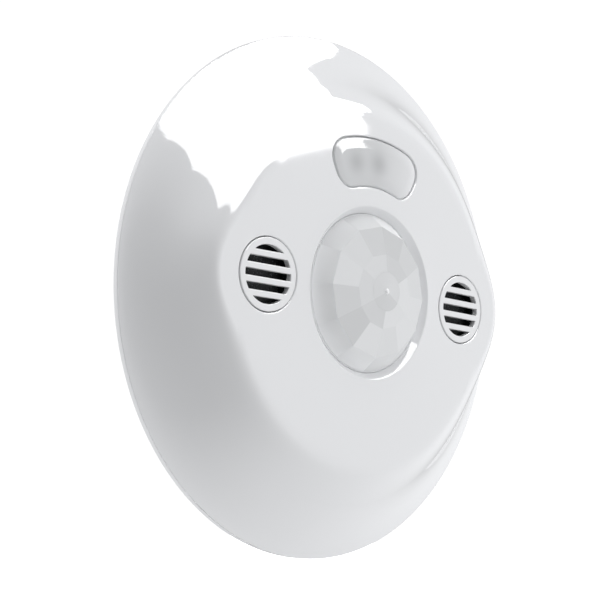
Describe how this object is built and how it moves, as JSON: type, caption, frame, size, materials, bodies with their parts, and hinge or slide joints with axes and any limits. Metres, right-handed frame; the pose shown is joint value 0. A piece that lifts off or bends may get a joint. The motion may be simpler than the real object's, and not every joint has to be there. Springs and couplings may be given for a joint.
{
  "type": "motion sensor",
  "caption": "Round ceiling occupancy sensor: flared white cover with a faceted infrared lens, two slotted ultrasonic grilles and an arc window, over a base plate with its board.",
  "frame": {"origin": "centre of the flat rear face that lies on the ceiling or ceiling box", "axes": "-Y points out of the sensor's face, +Y into the ceiling, +Z towards the indicator window, +X to the right-hand grille seen from the front"},
  "size_m": [0.1142, 0.0212, 0.1142],
  "materials": {
    "cover_plastic": "white, high gloss, moulded",
    "lens_plastic": "milky polyethylene, faceted, satin gloss",
    "window_plastic": "translucent grey-white, glossy",
    "sensor_epoxy": "clear resin over a light cell",
    "inner_plastic": "white moulded plastic, satin",
    "screen_mesh": "fine blackened mesh",
    "zinc_steel": "zinc plated",
    "board_laminate": "glass-epoxy laminate with green solder mask",
    "nickel_can": "nickel-plated can",
    "dark_filter": "dark infrared filter pane",
    "aluminium_can": "drawn aluminium, satin",
    "black_rubber": "matt black",
    "red_resin": "tinted clear resin",
    "green_resin": "tinted clear resin",
    "blue_housing": "moulded, satin",
    "ivory_plastic": "moulded, satin",
    "red_housing": "moulded, satin",
    "terminal_plastic": "moulded, satin",
    "button_plastic": "moulded, satin",
    "black_epoxy": "moulded epoxy, fine matt",
    "relay_case": "moulded case, low gloss",
    "capacitor_sleeve": "shrink sleeve"
  },
  "bodies": {
    "root": {"base_plate": "inner_plastic", "circuit_board": "board_laminate", "board_screw_1": "zinc_steel", "board_screw_2": "zinc_steel", "board_screw_3": "zinc_steel", "board_screw_4": "zinc_steel", "pir_detector": "nickel_can", "pir_filter": "dark_filter", "left_transducer": "aluminium_can", "right_transducer": "aluminium_can", "left_transducer_boot": "black_rubber", "right_transducer_boot": "black_rubber", "red_indicator": "red_resin", "green_indicator": "green_resin", "daylight_sensor": "sensor_epoxy", "microcontroller": "black_epoxy", "relay": "relay_case", "supply_capacitor": "capacitor_sleeve", "filter_capacitor": "capacitor_sleeve", "crystal": "nickel_can", "terminal_block": "terminal_plastic", "mode_switch_housing": "red_housing", "time_delay_housing": "blue_housing", "infrared_range_housing": "blue_housing", "ultrasonic_range_housing": "blue_housing", "daylight_level_housing": "blue_housing"},
    "cover": {"front_cover": "cover_plastic", "fresnel_lens": "lens_plastic", "lens_retainer": "inner_plastic", "retainer_screw_1": "zinc_steel", "retainer_screw_2": "zinc_steel", "retainer_screw_3": "zinc_steel", "retainer_screw_4": "zinc_steel", "indicator_window": "window_plastic", "left_grille": "cover_plastic", "right_grille": "cover_plastic", "left_screen": "screen_mesh", "right_screen": "screen_mesh"},
    "time_delay_dial": {"time_delay_dial": "ivory_plastic"},
    "infrared_range_dial": {"infrared_range_dial": "ivory_plastic"},
    "ultrasonic_range_dial": {"ultrasonic_range_dial": "ivory_plastic"},
    "daylight_level_dial": {"daylight_level_dial": "ivory_plastic"},
    "mode_slider_1": {"mode_slider_1": "ivory_plastic"},
    "mode_slider_2": {"mode_slider_2": "ivory_plastic"},
    "mode_slider_3": {"mode_slider_3": "ivory_plastic"},
    "mode_slider_4": {"mode_slider_4": "ivory_plastic"},
    "release_button_1": {"release_button_1": "button_plastic"},
    "release_button_2": {"release_button_2": "button_plastic"},
    "release_button_3": {"release_button_3": "button_plastic"},
    "release_button_4": {"release_button_4": "button_plastic"},
    "release_button_5": {"release_button_5": "button_plastic"}
  },
  "joints": [
    {"name": "cover_pull", "type": "slide", "parent": "root", "child": "cover", "axis": [0, -1, 0], "range_m": [0, 0.03]},
    {"name": "time_delay_turn", "type": "hinge", "parent": "root", "child": "time_delay_dial", "pos_m": [-0.0117, -0.0095, -0.013], "axis": [0, -1, 0], "range_deg": [-135, 135]},
    {"name": "infrared_range_turn", "type": "hinge", "parent": "root", "child": "infrared_range_dial", "pos_m": [-0.0039, -0.0095, -0.013], "axis": [0, -1, 0], "range_deg": [-135, 135]},
    {"name": "ultrasonic_range_turn", "type": "hinge", "parent": "root", "child": "ultrasonic_range_dial", "pos_m": [0.0039, -0.0095, -0.013], "axis": [0, -1, 0], "range_deg": [-135, 135]},
    {"name": "daylight_level_turn", "type": "hinge", "parent": "root", "child": "daylight_level_dial", "pos_m": [0.0117, -0.0095, -0.013], "axis": [0, -1, 0], "range_deg": [-135, 135]},
    {"name": "mode_slider_1_slide", "type": "slide", "parent": "root", "child": "mode_slider_1", "axis": [0, 0, 1], "range_m": [0, 0.0018]},
    {"name": "mode_slider_2_slide", "type": "slide", "parent": "root", "child": "mode_slider_2", "axis": [0, 0, 1], "range_m": [0, 0.0018]},
    {"name": "mode_slider_3_slide", "type": "slide", "parent": "root", "child": "mode_slider_3", "axis": [0, 0, 1], "range_m": [0, 0.0018]},
    {"name": "mode_slider_4_slide", "type": "slide", "parent": "root", "child": "mode_slider_4", "axis": [0, 0, 1], "range_m": [0, 0.0018]},
    {"name": "release_button_1_press", "type": "slide", "parent": "root", "child": "release_button_1", "axis": [0, 1, 0], "range_m": [0, 0.0005], "stiffness_N_per_m": 600},
    {"name": "release_button_2_press", "type": "slide", "parent": "root", "child": "release_button_2", "axis": [0, 1, 0], "range_m": [0, 0.0005], "stiffness_N_per_m": 600},
    {"name": "release_button_3_press", "type": "slide", "parent": "root", "child": "release_button_3", "axis": [0, 1, 0], "range_m": [0, 0.0005], "stiffness_N_per_m": 600},
    {"name": "release_button_4_press", "type": "slide", "parent": "root", "child": "release_button_4", "axis": [0, 1, 0], "range_m": [0, 0.0005], "stiffness_N_per_m": 600},
    {"name": "release_button_5_press", "type": "slide", "parent": "root", "child": "release_button_5", "axis": [0, 1, 0], "range_m": [0, 0.0005], "stiffness_N_per_m": 600}
  ]
}
